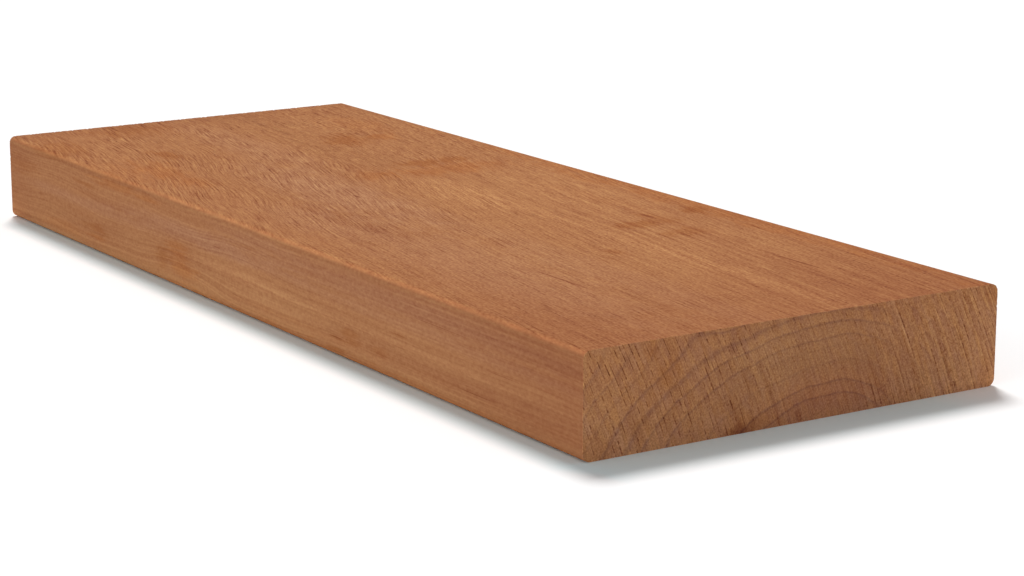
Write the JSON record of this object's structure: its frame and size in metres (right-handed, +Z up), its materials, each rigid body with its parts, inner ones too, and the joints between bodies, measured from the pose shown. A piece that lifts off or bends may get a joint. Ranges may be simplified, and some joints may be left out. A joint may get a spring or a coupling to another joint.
{
  "type": "decking board",
  "caption": "Short length of solid hardwood decking board: a flat planed plank with four rounded long edges and two square-sawn ends.",
  "frame": {"origin": "centre of the underside, on the surface that the board lies on", "axes": "+X along the board's length and its grain, +Y across its width, +Z up through its thickness"},
  "size_m": [0.238, 0.09, 0.019],
  "materials": {
    "hardwood": "planed faces and sawn ends, bare reddish-brown hardwood, satin"
  },
  "bodies": {
    "root": {"decking_board": "hardwood"}
  },
  "joints": []
}
